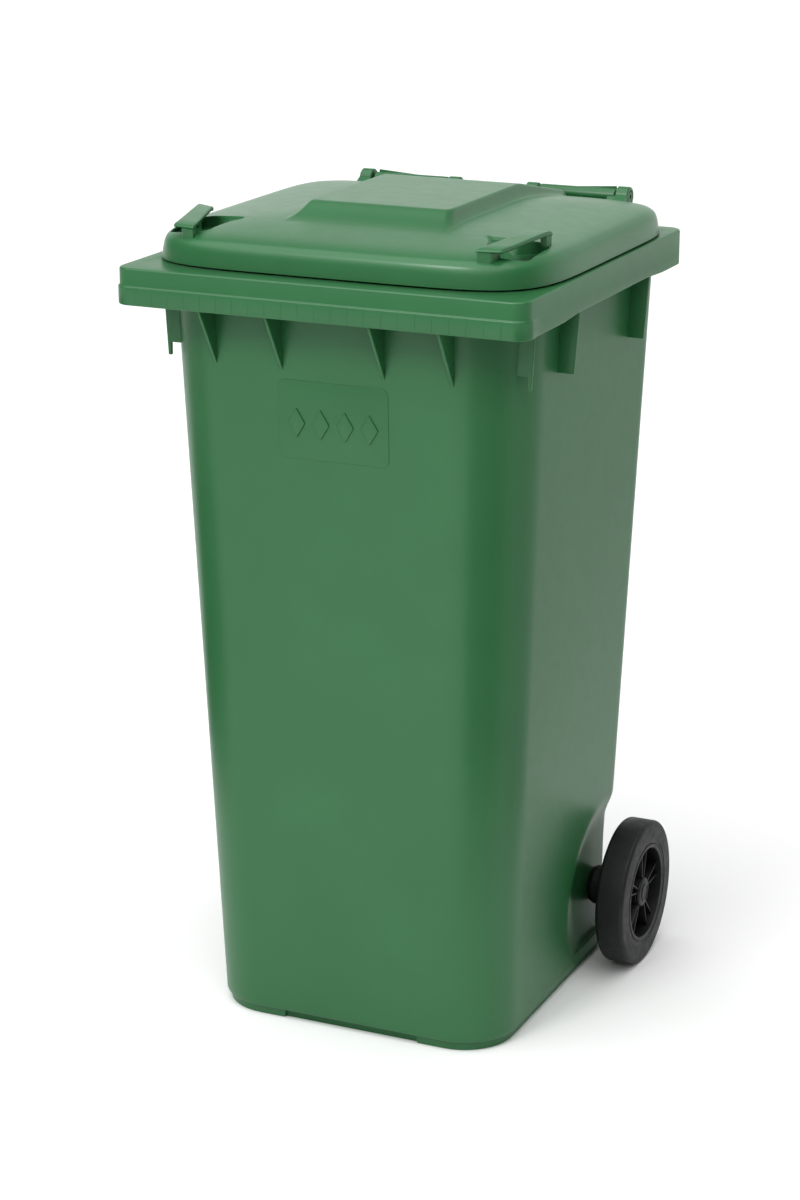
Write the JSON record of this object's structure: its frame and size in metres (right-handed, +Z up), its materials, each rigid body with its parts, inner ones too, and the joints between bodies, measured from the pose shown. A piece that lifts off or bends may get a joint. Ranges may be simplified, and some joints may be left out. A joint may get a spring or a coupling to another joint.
{
  "type": "wheelie bin",
  "caption": "Tall tapered two-wheeled refuse bin with a domed hinged lid, front lifting rim, rear handles and rubber-tyred wheels.",
  "frame": {"origin": "on the ground, below the middle of the whole bin", "axes": "+Z up, -Y towards the front face, +X towards the bin's right-hand wheel as seen from the front"},
  "size_m": [0.505, 0.528, 0.985],
  "materials": {
    "green_body": "satin injection-moulded polyethylene",
    "green_lid": "satin injection-moulded polyethylene",
    "green_pin": "smooth moulded plastic",
    "tyre_rubber": "dull solid rubber",
    "black_plastic": "moulded polypropylene",
    "steel": "zinc plated"
  },
  "bodies": {
    "bin_body": {"body": "green_body", "hinge_pin_left": "green_pin", "hinge_pin_right": "green_pin", "axle": "steel", "axle_bush_left": "black_plastic", "axle_bush_right": "black_plastic", "spacer_left": "black_plastic", "spacer_right": "black_plastic", "washer_left": "steel", "washer_right": "steel", "retaining_ring_left": "steel", "retaining_ring_right": "steel", "chip_plug": "black_plastic"},
    "lid_body": {"lid": "green_lid"},
    "wheel_body_left": {"wheel_left": "black_plastic", "tyre_left": "tyre_rubber", "hub_cap_left": "black_plastic"},
    "wheel_body_right": {"wheel_right": "black_plastic", "tyre_right": "tyre_rubber", "hub_cap_right": "black_plastic"}
  },
  "joints": [
    {"name": "lid_hinge", "type": "hinge", "parent": "bin_body", "child": "lid_body", "pos_m": [0, 0.252, 0.955], "axis": [-1, 0, 0], "range_deg": [0, 255]},
    {"name": "wheel_spin_left", "type": "hinge", "parent": "bin_body", "child": "wheel_body_left", "pos_m": [-0.23425, 0.17, 0.0915], "axis": [1, 0, 0], "continuous": true},
    {"name": "wheel_spin_right", "type": "hinge", "parent": "bin_body", "child": "wheel_body_right", "pos_m": [0.23425, 0.17, 0.0915], "axis": [1, 0, 0], "continuous": true}
  ]
}
